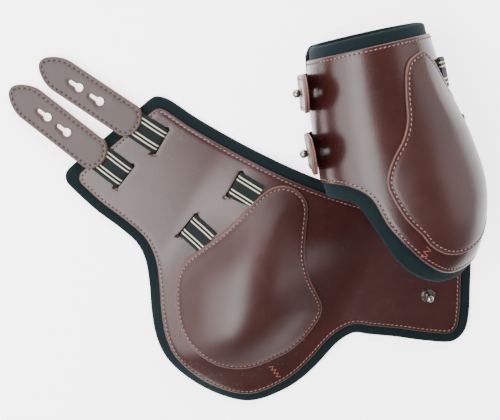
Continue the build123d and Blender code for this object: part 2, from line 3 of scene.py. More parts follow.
import bpy
import numpy as np
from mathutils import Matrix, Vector
from mathutils.geometry import delaunay_2d_cdt
from numpy.linalg import norm


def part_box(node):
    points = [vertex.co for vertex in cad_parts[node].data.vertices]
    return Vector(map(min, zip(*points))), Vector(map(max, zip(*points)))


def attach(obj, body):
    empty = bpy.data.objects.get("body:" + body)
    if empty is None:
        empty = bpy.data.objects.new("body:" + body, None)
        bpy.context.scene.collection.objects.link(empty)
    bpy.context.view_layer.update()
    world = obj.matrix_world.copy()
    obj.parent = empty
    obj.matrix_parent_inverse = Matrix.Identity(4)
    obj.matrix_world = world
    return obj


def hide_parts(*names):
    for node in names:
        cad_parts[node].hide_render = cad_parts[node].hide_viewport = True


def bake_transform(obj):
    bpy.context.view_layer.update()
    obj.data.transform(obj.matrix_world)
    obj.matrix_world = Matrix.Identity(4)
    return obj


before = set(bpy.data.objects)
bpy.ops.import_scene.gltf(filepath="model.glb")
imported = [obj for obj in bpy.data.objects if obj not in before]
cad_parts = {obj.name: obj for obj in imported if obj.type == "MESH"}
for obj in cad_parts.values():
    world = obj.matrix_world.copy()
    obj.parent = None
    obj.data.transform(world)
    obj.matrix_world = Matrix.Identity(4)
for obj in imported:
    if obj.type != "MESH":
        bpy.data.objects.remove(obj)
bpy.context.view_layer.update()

# Shapes are worked out in millimetres in part.py's own plan, then moved by SHIFT and scaled to metres.
LOWER_STUD = np.array([162.1, -78.0, 0.0])
low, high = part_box("lower_washer")
SHIFT = np.array([(low[i] + high[i]) * 500 for i in range(2)] + [0.0]) - LOWER_STUD

# Heights and thicknesses of the open boot
LINING = 5.0
SHELL_TOP = 7.5
SINK = 0.1  # how far the leather reaches into the lining
INSIDE = 0.15  # how far the visible lining stays inside the CAD one
JOIN = 0.02  # gap under a layer sewn on
LIFT = 0.45  # of the free elastics above the leather

# The cup over the leg
BORDER = 9.5  # lining that shows beyond the leather
FOLD = 88.0  # from the leg's axis to a wing's fold
FOLD_REACH = 14  # to each side of a fold, where the fold's end points are set
CUP_CENTRE = (-4.5, -81.0)
LEG = radians(61.3)

# Elastics and tabs
ELASTIC = 1.6
ELASTIC_WIDTH = 25.0
WEB = 1.5  # thickness of the visible elastic
SEWN_WIDTH, FREE_WIDTH = ELASTIC_WIDTH - 0.6, ELASTIC_WIDTH - 0.4
TAB_WIDTH = 30.0
TAB_START = 22.0
TAB_TIP = 124.5
TAB_BACKING = 1.6
TAB_FACE = 2.2
TAB_UNDER = 0.05  # the backing's underside
TAB_PROUD = 0.1  # the face's top above the CAD one
TAB_THREAD_DEPTH = 0.2
HOLE_RADIUS = 3.75
KEY_WIDTH = 3.6
KEY_STEP = 8.8
KEYHOLES = (62.8, 84.2)
KNEE = 27.0  # along a free elastic, where the tab starts to drop
DROP = radians(3.9)
SLOTS = {"upper": ((-13.4, 25.5), (-78.5, 63.5)), "lower": ((-55.2, -12.2), (-111.2, 32.3))}
ANGLES = {"upper": radians(146.4), "lower": radians(141.8)}

LINING_POINTS = (
    (-78, 102), (-71, 99.5), (-45.8, 82.7), (1.8, 56), (61.4, 29.4), (130, 7.5), (191, -6), (197.5, -9),
    (200.3, -14), (200.5, -40), (200.8, -70), (201, -93), (198.6, -111), (193, -119.5), (185.7, -123.6),
    (160, -122.5), (133.7, -118.8), (108.7, -116.4), (96.9, -114.8), (88.2, -118.6), (79.5, -125.6),
    (63.6, -144.2), (47.5, -160), (29.8, -171.2), (0, -180.6), (-29.5, -174.4), (-54.6, -160), (-75.1, -139.7),
    (-85, -119.4), (-89.6, -96.2), (-91.9, -65.8), (-95, -44.9), (-101.9, -30.1), (-115.8, -16.7), (-138.2, 0.9),
    (-157.5, 19.5), (-162.5, 25), (-164.5, 30.2), (-163, 36), (-158.9, 40.3), (-140, 56), (-120, 72.8),
    (-100, 89.5), (-87, 100.3), (-82.7, 102.4),
)
PAD_POINTS = (
    (31.3, 24.9), (41, 21.5), (48.1, 14.5), (51, 6), (49.2, -17), (48.5, -37.8), (53.9, -59), (61.6, -75.5),
    (65.1, -85.5), (63.7, -95), (50.8, -114.4), (36.3, -127.1), (21.7, -133.1), (-4, -140.2), (-28.4, -136.6),
    (-45.6, -126.3), (-58.5, -112.1), (-65, -95.3), (-67.1, -77), (-65.6, -58.6), (-58.2, -43.8), (-46.6, -33.7),
    (-25.6, -17.2), (-2.3, 4.8), (10.2, 17.3), (21, 23.8),
)

# ---- outlines


def resample(points, step, closed=True):
    points = np.asarray(points, float)
    if closed:
        points = np.vstack([points, points[:1]])
    lengths = np.concatenate([[0], np.cumsum(np.hypot(*np.diff(points[:, :2], axis=0).T))])
    count = max(4, int(round(lengths[-1] / step)))
    wanted = np.linspace(0, lengths[-1], count, endpoint=not closed)
    return np.stack([np.interp(wanted, lengths, points[:, k]) for k in range(points.shape[1])], 1)


def smooth(points, step, closed=True):
    """A curve through the points, as an even polyline."""
    points = np.asarray(points, float)
    n = len(points)
    out = []
    for i in range(n if closed else n - 1):
        around = [points[(i + k) % n] if closed else points[min(max(i + k, 0), n - 1)] for k in (-1, 0, 1, 2)]
        spans = [max(1e-6, norm(around[k + 1] - around[k])) ** 0.5 for k in range(3)]
        t1, t2 = spans[0], spans[0] + spans[1]
        t3 = t2 + spans[2]
        for t in np.linspace(t1, t2, 12, endpoint=False):
            a1 = around[0] + (around[1] - around[0]) * (t / t1)
            a2 = around[1] + (around[2] - around[1]) * ((t - t1) / (t2 - t1))
            a3 = around[2] + (around[3] - around[2]) * ((t - t2) / (t3 - t2))
            b1 = a1 + (a2 - a1) * (t / t2)
            b2 = a2 + (a3 - a2) * ((t - t1) / (t3 - t1))
            out.append(b1 + (b2 - b1) * ((t - t1) / (t2 - t1)))
    if not closed:
        out.append(points[-1])
    return resample(np.array(out), step, closed)


def turned_left(loop):
    x, y = loop[:, 0], loop[:, 1]
    area = np.sum(x * np.roll(y, -1) - np.roll(x, -1) * y)
    return loop if area > 0 else loop[::-1]


def inward(loop, distance):
    """Each point moved to the left of the way the loop runs."""
    along = np.roll(loop, -1, 0) - np.roll(loop, 1, 0)
    along /= np.maximum(1e-9, norm(along, axis=1))[:, None]
    return loop + np.stack([-along[:, 1], along[:, 0]], 1) * distance


def away(points, loop):
    """Distance of each point from the loop."""
    a, b = loop, np.roll(loop, -1, 0)
    ab = b - a
    best = np.full(len(points), 1e9)
    for start in range(0, len(points), 1500):
        chunk = points[start:start + 1500, None, :] - a[None]
        share = np.clip(np.sum(chunk * ab, 2) / np.maximum(1e-12, np.sum(ab * ab, 1)), 0, 1)
        best[start:start + 1500] = np.min(norm(chunk - share[..., None] * ab, axis=2), 1)
    return best


def within(points, loop):
    x, y = points[:, 0][:, None], points[:, 1][:, None]
    ax, ay = loop[:, 0], loop[:, 1]
    bx, by = np.roll(ax, -1), np.roll(ay, -1)
    crosses = ((ay > y) != (by > y)) & (x < (bx - ax) * (y - ay) / np.where(by == ay, 1e-9, by - ay) + ax)
    return np.sum(crosses, 1) % 2 == 1


def inset(loop, distance, step=None):
    """The loop moved in by a distance, without the folds that leaves in tight corners."""
    fine = turned_left(resample(loop, 1.0))
    moved = inward(fine, distance)
    moved = moved[away(moved, fine) > abs(distance) * 0.985]
    return resample(moved, step or 2.0)


# ---- surfaces


def leg_frame(points):
    dx, dy = points[:, 0] - CUP_CENTRE[0], points[:, 1] - CUP_CENTRE[1]
    return dx * cos(LEG) + dy * sin(LEG), dx * sin(LEG) - dy * cos(LEG)


def cup(points):
    t, v = leg_frame(points)
    below = 35 * np.maximum(0, 1 - (t / 97) ** 2)
    above = 6 + 29 * np.cos(pi * np.minimum(np.maximum(t, 0), 130) / 260) ** 2
    return np.where(t < 0, below, above) * np.cos(pi * np.minimum(np.abs(v), FOLD) / (2 * FOLD)) ** 2


def open_surface(points, height):
    return np.column_stack([points, cup(points) + height])


# The closed boot: ovals at stations along its axis, each (s, front w, back w, half height)
STATIONS = np.array((
    (-16, 2, 100.5, 46), (0, -1, 101, 46.5), (45, -8, 106, 46.5), (90, -10.5, 113.5, 45),
    (115, -11, 117.5, 43.5), (140, -11, 118, 42), (160, -11, 116, 39.5), (178, -11, 111, 36),
    (192, -11, 102, 31), (206, -11, 88, 24),
), float)
LAP = 10.5  # how far the far side's front edge stands out past the near side's
TURN, PITCH = radians(12.8), radians(3.4)
AXIS_S = np.array([sin(TURN) * cos(PITCH), -cos(TURN) * cos(PITCH), sin(PITCH)])
AXIS_W = np.array([cos(TURN), sin(TURN), 0.0])
AXIS_H = np.cross(AXIS_S, AXIS_W)
BOOT = np.array([47.3, 135.3, 48.3])
ROUND = 55.0  # pattern millimetres to a radian round the closed boot


def stations(s):
    """Front w, back w and half height, smoothed along s."""
    spread = (-8, -4, 0, 4, 8)
    return [np.mean([np.interp(s + k, STATIONS[:, 0], STATIONS[:, i]) for k in spread], 0) for i in (1, 2, 3)]


def oval_point(points, height):
    """(w, h) of pattern points (angle from the back times ROUND, s). Positive angles are the near side."""
    angle, s = points[:, 0] / ROUND, points[:, 1]
    front, back, half = stations(s)
    lap = np.where(angle < 0, LAP, 0.0)
    centre = (front + back - lap) / 2
    semi = (back - front + lap) / 2
    return centre + (semi + height) * np.cos(angle), (half + height) * np.sin(angle)


def closed_surface(points, height):
    w, h = oval_point(points, height)
    return BOOT + w[:, None] * AXIS_W + h[:, None] * AXIS_H + points[:, 1][:, None] * AXIS_S


def pattern_at(s, w, side=1, height=0.0):
    """Pattern point of a side-view point (s, w) on the near (1) or far (-1) side."""
    front, back, half = stations(np.array([float(s)]))
    lap = LAP if side < 0 else 0.0
    centre = (front[0] + back[0] - lap) / 2
    semi = (back[0] - front[0] + lap) / 2 + height
    return side * np.arccos(np.clip((w - centre) / semi, -1, 1)) * ROUND, float(s)


# ---- meshes


def place(points):
    return (np.asarray(points, float) + SHIFT) * 0.001


def new_object(name, verts, faces, materials, indices=None, uvs=None):
    mesh = bpy.data.meshes.new(name)
    mesh.from_pydata([tuple(v) for v in place(verts)], [], [tuple(int(i) for i in f) for f in faces])
    for material in materials:
        mesh.materials.append(material)
    if indices is not None:
        mesh.polygons.foreach_set("material_index", np.asarray(indices, np.int32))
    mesh.polygons.foreach_set("use_smooth", np.ones(len(mesh.polygons), bool))
    if uvs is not None:
        layer = mesh.uv_layers.new(name="pattern")
        corner = np.zeros(len(mesh.loops), np.int32)
        mesh.loops.foreach_get("vertex_index", corner)
        layer.data.foreach_set("uv", (np.asarray(uvs, float)[corner] * 0.01).ravel())
    mesh.validate()
    mesh.update()
    made = bpy.data.objects.new(name, mesh)
    bpy.context.scene.collection.objects.link(made)
    return made


def triangles(loops, free):
    """Triangle mesh of the plan inside loops[0] and outside the other loops, with extra free points."""
    points, edges, start = [], [], 0
    for loop in loops:
        points.append(loop)
        edges += [(start + i, start + (i + 1) % len(loop)) for i in range(len(loop))]
        start += len(loop)
    points = np.vstack(points + [free]) if len(free) else np.vstack(points)
    out = delaunay_2d_cdt([Vector((float(p[0]), float(p[1]))) for p in points], edges, [], 0, 1e-5)
    back = [o[0] if o else -1 for o in out[3]]
    plan = np.array([[v.x, v.y] for v in out[0]])
    faces = np.array([f for f in out[2]], int)
    middle = plan[faces].mean(1)
    keep = within(middle, loops[0])
    for loop in loops[1:]:
        keep &= ~within(middle, loop)
    faces = np.array([[back[i] for i in f] for f in faces[keep]], int)
    faces = faces[(faces >= 0).all(1)]
    a, b, c = points[faces[:, 0]], points[faces[:, 1]], points[faces[:, 2]]
    area = (b[:, 0] - a[:, 0]) * (c[:, 1] - a[:, 1]) - (b[:, 1] - a[:, 1]) * (c[:, 0] - a[:, 0])
    faces[area < 0] = faces[area < 0][:, ::-1]
    return points, faces[np.abs(area) > 1e-7]


def lattice(lo, hi, grid):
    """Staggered points over a box of the plan."""
    rows = enumerate(np.arange(lo[1], hi[1], grid * 0.87))
    return np.array([(x + (grid / 2 if j % 2 else 0), y) for j, y in rows for x in np.arange(lo[0], hi[0], grid)])


def ring_faces(one, other, closed=True):
    """Quads between two rows of vertex numbers."""
    n = len(one)
    return [(one[i], other[i], other[(i + 1) % n], one[(i + 1) % n]) for i in range(n if closed else n - 1)]


def tube_faces(start, rings, sides):
    """Quads of a tube whose rings of vertices follow one another from start."""
    return [
        (a + k, a + (k + 1) % sides, a + sides + (k + 1) % sides, a + sides + k)
        for a in range(start, start + (rings - 1) * sides, sides) for k in range(sides)
    ]


RIM_CLEAR = 1.2  # least gap between the outermost extra points and the other inner points
HOLE_CLEAR = 1.0  # the same round a hole
HOLE_CALM = 3  # how much less a hole counts than the rim in a relief


def sheet_mesh(name, outline, holes, surface, top, bottom, edge, relief, materials, grid=4.0, step=2.4, rows=()):
    """A sheet with rounded edges.

    edge is a list of (inset, share of the way down). rows are insets at which rings of extra points follow the rim.
    """
    rims = [turned_left(resample(outline, step))]
    rims += [turned_left(resample(h, min(step, 1.0)))[::-1] for h in holes]
    lip = edge[0][0]
    top_rims = [inward(rim, lip) for rim in rims]
    points = lattice(rims[0].min(0), rims[0].max(0), grid)
    clear = (max(rows) if rows else lip) + RIM_CLEAR
    keep = within(points, rims[0]) & (away(points, rims[0]) > clear)
    for rim in rims[1:]:
        keep &= ~within(points, rim) & (away(points, rim) > lip + HOLE_CLEAR)
    free = [points[keep]]
    for row in rows:
        ring = inset(rims[0], row, step)
        far = np.ones(len(ring), bool)
        for rim in rims[1:]:
            far &= ~within(ring, rim) & (away(ring, rim) > lip + HOLE_CLEAR)
        free.append(ring[far])
    plan, faces = triangles(top_rims, np.vstack(free))
    n = len(plan)
    gap = away(plan, rims[0])
    for rim in rims[1:]:
        gap = np.minimum(gap, away(plan, rim) + HOLE_CALM)
    crown = relief(plan, gap) if relief else np.zeros(n)
    verts = [surface(plan, top + crown), surface(plan, np.full(n, float(bottom)))]
    uvs = [plan, plan]
    all_faces = [tuple(f) for f in faces] + [tuple(f[::-1] + n) for f in faces]
    kinds = [0] * len(all_faces)
    start, count = 0, 2 * n
    for rim in rims:
        size = len(rim)
        first = np.arange(start, start + size)
        previous = first
        rim_top = top + (relief(plan[first], gap[first]) if relief else 0)
        for amount, share in edge[1:-1]:
            ring = inward(rim, amount)
            verts.append(surface(ring, rim_top + (bottom - rim_top) * share))
            uvs.append(ring)
            here = np.arange(count, count + size)
            count += size
            all_faces += ring_faces(previous, here)
            previous = here
        all_faces += ring_faces(previous, first + n)
        start += size
    kinds += [1] * (len(all_faces) - len(kinds))
    return new_object(name, np.vstack(verts), all_faces, materials, kinds, np.vstack(uvs))


def normals(surface, plan, height):
    """Outward unit normals of a surface at plan points."""
    e = 0.4
    heights = np.full(len(plan), float(height)) if np.isscalar(height) else height
    du = surface(plan + [e, 0], heights) - surface(plan - [e, 0], heights)
    dv = surface(plan + [0, e], heights) - surface(plan - [0, e], heights)
    up = np.cross(du, dv)
    return up / norm(up, axis=1)[:, None]


SIDES = 6  # of a thread
# One thread from end to end: place along it, share of its thickness, and rise in thicknesses
THREAD_RINGS = (
    (-0.5, 0.25, -0.75), (-0.42, 0.8, -0.1), (-0.2, 1, 0.25), (0.2, 1, 0.25), (0.42, 0.8, -0.1), (0.5, 0.25, -0.75),
)
THREAD_SLANT = 0.16
# The stitch holes are flat near-black discs, painted shade rather than cut holes: how far they sit above a thread's
# middle, and how much narrower they are across the seam
HOLE_SHADE_RISE = 0.2
HOLE_SHADE_OVAL = 0.9


def stitches(name, path, surface, height, material, pitch=4.0, length=2.7, thick=0.42, closed=True, hole_shade_radius=0.82):
    """Threads laid along a line on a surface, one small rounded capsule each, with a flat dark disc after each: painted
    shade for its stitch hole.
    """
    marks = resample(path, pitch, closed)
    ahead = (np.roll(marks, -1, 0) - np.roll(marks, 1, 0)) if closed else np.gradient(marks, axis=0)
    heights = np.full(len(marks), float(height))
    centre = surface(marks, heights)
    up = normals(surface, marks, heights)
    unit = ahead / norm(ahead, axis=1)[:, None]
    front = surface(marks + unit * 0.5, heights) - surface(marks - unit * 0.5, heights)
    front /= norm(front, axis=1)[:, None]
    side = np.cross(up, front)
    verts, faces, kinds = [], [], []
    last = (len(THREAD_RINGS) - 1) * SIDES
    for c, u, f, s in zip(centre, up, front, side):
        slant = f * cos(THREAD_SLANT) + s * sin(THREAD_SLANT)
        across = np.cross(u, slant)
        start = len(verts)
        for along, wide, rise in THREAD_RINGS:
            for a in (pi * k / 3 for k in range(SIDES)):
                lift = u * (thick * (wide * sin(a) * 0.8 + rise))
                verts.append(c + slant * (length * along) + across * (thick * wide * cos(a)) + lift)
        tube = tube_faces(start, len(THREAD_RINGS), SIDES)
        tube.append(tuple(start + k for k in range(SIDES - 1, -1, -1)))
        tube.append(tuple(start + last + k for k in range(SIDES)))
        faces += tube
        start = len(verts)
        # painted shade: a flat dark disc over the leather for the stitch hole
        at = c + f * (pitch / 2) + u * HOLE_SHADE_RISE
        for a in (pi * k / 4 for k in range(8)):
            verts.append(at + f * (hole_shade_radius * cos(a)) + s * (hole_shade_radius * HOLE_SHADE_OVAL * sin(a)))
        faces.append(tuple(start + k for k in range(8)))
        kinds += [0] * len(tube) + [1]
    return new_object(name, np.array(verts), faces, [material, HOLE_SHADE], kinds, np.zeros((len(verts), 2)))


def ribbon(name, centres, across, width, thick, material):
    """A woven band along centres, in millimetres, as wide as given in the direction across."""
    centres = np.asarray(centres, float)
    across = np.broadcast_to(np.asarray(across, float), centres.shape)
    ahead = np.gradient(centres, axis=0)
    ahead /= norm(ahead, axis=1)[:, None]
    across = across / norm(across, axis=1)[:, None]
    up = np.cross(ahead, across)
    columns = 24
    edge_power, edge_thinning = 14, 0.7
    verts, uvs = [], []
    run = np.concatenate([[0], np.cumsum(norm(np.diff(centres, axis=0), axis=1))])
    section = []
    for k in range(columns + 1):
        x = -0.5 + k / columns
        section.append((x, 0.5 * (1 - (2 * abs(x)) ** edge_power * edge_thinning), k / columns))
    section += [(x, -y, u) for x, y, u in section[::-1]]
    for c, a, n, d in zip(centres, across, up, run):
        for x, y, u in section:
            verts.append(c + a * (x * width) + n * (y * thick))
            uvs.append((u * 100, d))
    size = len(section)
    faces = tube_faces(0, len(centres), size)
    faces.append(tuple(range(size)))
    faces.append(tuple(range((len(centres) - 1) * size, len(centres) * size))[::-1])
    return new_object(name, np.array(verts), faces, [material], None, np.array(uvs))


# ---- materials


def tree_of(name):
    """A new material, its nodes and its shader."""
    material = bpy.data.materials.new(name)
    material.use_nodes = True
    nodes = material.node_tree.nodes
    return material, nodes, nodes["Principled BSDF"]


def wire(source, output, target, entry):
    """Links a node's output to another node's input."""
    source.id_data.links.new(source.outputs[output], target.inputs[entry])


def tune(node, **values):
    """Sets a node's inputs, named with _ for each space."""
    for key, value in values.items():
        node.inputs[key.replace("_", " ")].default_value = value


def add(nodes, kind, **values):
    """A new shader node with its settings and inputs."""
    node = nodes.new("ShaderNode" + kind)
    for key, value in values.items():
        if hasattr(node, key):
            setattr(node, key, value)
        else:
            node.inputs[key.replace("_", " ")].default_value = value
    return node


def ramp(nodes, stops):
    """A colour ramp through (place, colour) stops."""
    node = add(nodes, "ValToRGB")
    while len(node.color_ramp.elements) < len(stops):
        node.color_ramp.elements.new(0.5)
    for element, (at, colour) in zip(node.color_ramp.elements, stops):
        element.position = at
        element.color = (*colour, 1)
    return node


def leather(name, dark, light, roughness, grain=1.0, coat=0.12):
    """Smooth finished hide: cloudy colour, pores, fine creases and uneven polish."""
    material, nodes, shader = tree_of(name)
    uv = add(nodes, "UVMap", uv_map="pattern")
    cloud = add(nodes, "TexNoise", Scale=2.2, Detail=4.0, Roughness=0.55)
    fine = add(nodes, "TexNoise", Scale=90.0, Detail=5.0, Roughness=0.65)
    pores = add(nodes, "TexVoronoi", Scale=120.0)
    polish = add(nodes, "TexNoise", Scale=9.0, Detail=6.0, Roughness=0.6)
    for node in (cloud, fine, pores, polish):
        wire(uv, "UV", node, "Vector")
    tone = ramp(nodes, ((0.3, dark), (0.72, light)))
    wire(cloud, "Fac", tone, "Fac")
    mix = add(nodes, "Mix", data_type="RGBA", blend_type="MULTIPLY")
    mix.inputs["Factor"].default_value = 0.35
    wire(tone, "Color", mix, "A")
    shade = ramp(nodes, ((0.3, (0.72, 0.7, 0.7)), (0.7, (1.12, 1.1, 1.1))))
    wire(fine, "Fac", shade, "Fac")
    wire(shade, "Color", mix, "B")
    wire(mix, "Result", shader, "Base Color")
    spread = add(nodes, "MapRange")
    tune(spread, To_Min=roughness - 0.05, To_Max=roughness + 0.07)
    wire(polish, "Fac", spread, "Value")
    wire(spread, "Result", shader, "Roughness")
    first = add(nodes, "Bump", Strength=0.10 * grain, Distance=0.0004)
    wire(fine, "Fac", first, "Height")
    second = add(nodes, "Bump", Strength=0.08 * grain, Distance=0.0003)
    wire(pores, "Distance", second, "Height")
    wire(first, "Normal", second, "Normal")
    wire(second, "Normal", shader, "Normal")
    tune(shader, Coat_Weight=coat, Coat_Roughness=0.28, Specular_IOR_Level=0.42)
    return material


def jersey(name, dark, light):
    """Knitted face of the neoprene: rows of fine loops over foam."""
    material, nodes, shader = tree_of(name)
    uv = add(nodes, "UVMap", uv_map="pattern")
    wales = add(nodes, "TexWave", Scale=46.0, Distortion=1.2, Detail=1.0)
    rows = add(nodes, "TexWave", Scale=38.0, Distortion=1.2, Detail=1.0, bands_direction="Y")
    fuzz = add(nodes, "TexNoise", Scale=60.0, Detail=6.0, Roughness=0.7)
    for node in (wales, rows, fuzz):
        wire(uv, "UV", node, "Vector")
    knit = add(nodes, "Math", operation="MULTIPLY")
    wire(wales, "Fac", knit, 0)
    wire(rows, "Fac", knit, 1)
    total = add(nodes, "Math", operation="ADD")
    wire(knit, "Value", total, 0)
    wire(fuzz, "Fac", total, 1)
    tone = ramp(nodes, ((0.35, dark), (1.0, light)))
    wire(total, "Value", tone, "Fac")
    wire(tone, "Color", shader, "Base Color")
    bump = add(nodes, "Bump", Strength=0.5, Distance=0.0004)
    wire(total, "Value", bump, "Height")
    wire(bump, "Normal", shader, "Normal")
    tune(
        shader, Roughness=0.9, Specular_IOR_Level=0.12, Sheen_Weight=0.05, Sheen_Roughness=0.5,
        Sheen_Tint=(0.35, 0.6, 0.68, 1),
    )
    return material


def webbing(name):
    """Ribbed elastic: two pairs of cream stripes on a dark ground, with woven rows across."""
    material, nodes, shader = tree_of(name)
    uv = add(nodes, "UVMap", uv_map="pattern")
    split = add(nodes, "SeparateXYZ")
    wire(uv, "UV", split, "Vector")
    dark, cream = (0.0030, 0.0070, 0.0076), (0.55, 0.53, 0.38)
    stops = [(0.0, dark)]
    stripe = ((-0.030, dark), (-0.018, cream), (0.018, cream), (0.030, dark))
    for middle in (0.155, 0.29, 0.70, 0.835):
        stops += [(middle + offset, tint) for offset, tint in stripe]
    stripes = ramp(nodes, stops)
    wire(split, "X", stripes, "Fac")
    rows = add(nodes, "TexWave", Scale=34.0, Distortion=0.6, bands_direction="Y")
    ribs = add(nodes, "TexWave", Scale=9.5, Distortion=0.4)
    wire(uv, "UV", rows, "Vector")
    wire(uv, "UV", ribs, "Vector")
    weave = add(nodes, "Math", operation="MULTIPLY_ADD")
    weave.inputs[1].default_value = 0.6
    wire(rows, "Fac", weave, 0)
    wire(ribs, "Fac", weave, 2)
    mix = add(nodes, "Mix", data_type="RGBA", blend_type="MULTIPLY")
    mix.inputs["Factor"].default_value = 0.55
    shade = ramp(nodes, ((0.0, (0.45, 0.45, 0.45)), (0.6, (1, 1, 1))))
    wire(rows, "Fac", shade, "Fac")
    wire(stripes, "Color", mix, "A")
    wire(shade, "Color", mix, "B")
    wire(mix, "Result", shader, "Base Color")
    bump = add(nodes, "Bump", Strength=0.6, Distance=0.0005)
    wire(weave, "Value", bump, "Height")
    wire(bump, "Normal", shader, "Normal")
    tune(shader, Roughness=0.75, Specular_IOR_Level=0.2, Sheen_Weight=0.04)
    return material


def cotton(name, dark, light):
    material, nodes, shader = tree_of(name)
    noise = add(nodes, "TexNoise", Scale=900.0, Detail=3.0)
    place_in = add(nodes, "TexCoord")
    wire(place_in, "Object", noise, "Vector")
    tone = ramp(nodes, ((0.35, dark), (0.65, light)))
    wire(noise, "Fac", tone, "Fac")
    wire(tone, "Color", shader, "Base Color")
    bump = add(nodes, "Bump", Strength=0.4, Distance=0.0002)
    wire(noise, "Fac", bump, "Height")
    wire(bump, "Normal", shader, "Normal")
    tune(shader, Roughness=0.7)
    return material


def metal(name):
    material, nodes, shader = tree_of(name)
    noise = add(nodes, "TexNoise", Scale=220.0, Detail=5.0, Roughness=0.6)
    place_in = add(nodes, "TexCoord")
    wire(place_in, "Object", noise, "Vector")
    tone = ramp(nodes, ((0.3, (0.20, 0.185, 0.17)), (0.7, (0.31, 0.29, 0.265))))
    wire(noise, "Fac", tone, "Fac")
    wire(tone, "Color", shader, "Base Color")
    spread = add(nodes, "MapRange")
    tune(spread, To_Min=0.10, To_Max=0.26)
    wire(noise, "Fac", spread, "Value")
    wire(spread, "Result", shader, "Roughness")
    tune(shader, Metallic=1.0)
    return material


SHELL = leather("shell_leather", (0.019, 0.0041, 0.0032), (0.029, 0.0064, 0.0050), 0.25)
PAD_LEATHER = leather("pad_leather", (0.020, 0.0044, 0.0035), (0.030, 0.0070, 0.0056), 0.35)
# The tabs are the shell's leather; their greyer, paler pink tone is painted sheen from the overhead light.
TAB_LEATHER_SHEEN = leather("tab_leather", (0.018, 0.0066, 0.0054), (0.028, 0.0104, 0.0086), 0.44, 1.4, 0.05)
EDGE = leather("raw_edge", (0.070, 0.024, 0.020), (0.12, 0.046, 0.038), 0.6, 2.0, 0.0)
SHELL_EDGE = leather("painted_edge", (0.026, 0.0075, 0.0060), (0.050, 0.017, 0.014), 0.5, 1.6, 0.05)
NEOPRENE = jersey("neoprene", (0.0010, 0.0034, 0.0040), (0.0042, 0.0108, 0.0124))
ELASTIC_WEB = webbing("elastic")
THREAD = cotton("thread", (0.13, 0.050, 0.038), (0.28, 0.135, 0.105))
TAB_THREAD = cotton("tab_thread", (0.085, 0.034, 0.028), (0.15, 0.066, 0.054))
DART_THREAD = cotton("dart_thread", (0.13, 0.026, 0.014), (0.22, 0.055, 0.030))
NICKEL = metal("nickel")
# Near-black colour of the stitch-hole discs: painted shade of the holes
HOLE_SHADE, _, shader = tree_of("stitch_hole_shade")
tune(shader, Base_Color=(0.004, 0.0015, 0.0013, 1), Roughness=0.8)

# ---- open boot

LINING_LOOP = turned_left(smooth(LINING_POINTS, 1.5))
SHELL_LOOP = inset(inset(LINING_LOOP, BORDER + 6.0), -6.0, 1.5)  # there and back again rounds its corners
PAD_LOOP = turned_left(smooth(PAD_POINTS, 1.5))
# Rounded edges as (inset, share of the way down), and insets of the rings of extra points
LEATHER_EDGE = [(0.9, 0), (0.28, 0.12), (0, 0.42), (0, 0.8), (0.9, 1)]
NEOPRENE_EDGE = [(1.8, 0), (0.55, 0.12), (0, 0.4), (0, 0.62), (0.55, 0.88), (1.8, 1)]
PAD_EDGE = [(0.9, 0), (0.25, 0.1), (0, 0.35), (0, 0.75), (0.9, 1)]
TAB_EDGE = [(0.6, 0), (0.2, 0.15), (0, 0.45), (0.0, 0.8), (0.6, 1)]
LINING_ROWS = (2.5, 4.5, 7.0)
SHELL_ROWS = (1.8, 2.9, 4.0, 6.0)
PAD_ROWS = (1.6, 3.0, 4.4, 7.0, 10.0)
TAB_ROWS = (1.4, 2.4, 3.2, 4.0)
# Seams' distances from the edge, and how deep their threads lie
SHELL_SEAM, PAD_SEAM, TAB_SEAM = 2.9, 3.0, 3.2
THREAD_DEPTH = 0.22
PAD_RIM, PAD_THREAD = 2.7, 2.4  # heights above the leather


def half_of(loop, side):
    """The part of an outline on one side of the leg's axis (1 for the stud side), closed along it."""
    t, v = leg_frame(loop)
    mine = v * side > 0
    first = [i for i in range(len(loop)) if mine[i] and not mine[i - 1]][0]
    run = []
    for k in range(len(loop)):
        i = (first + k) % len(loop)
        if not mine[i]:
            break
        run.append(loop[i])
    last = (first + len(run)) % len(loop)

    def on_axis(a, b):
        va, vb = v[a], v[b]
        return loop[a] + (loop[b] - loop[a]) * (va / (va - vb))

    start, end = on_axis((first - 1) % len(loop), first), on_axis((last - 1) % len(loop), last)
    return np.array([start] + run + [end]), start, end


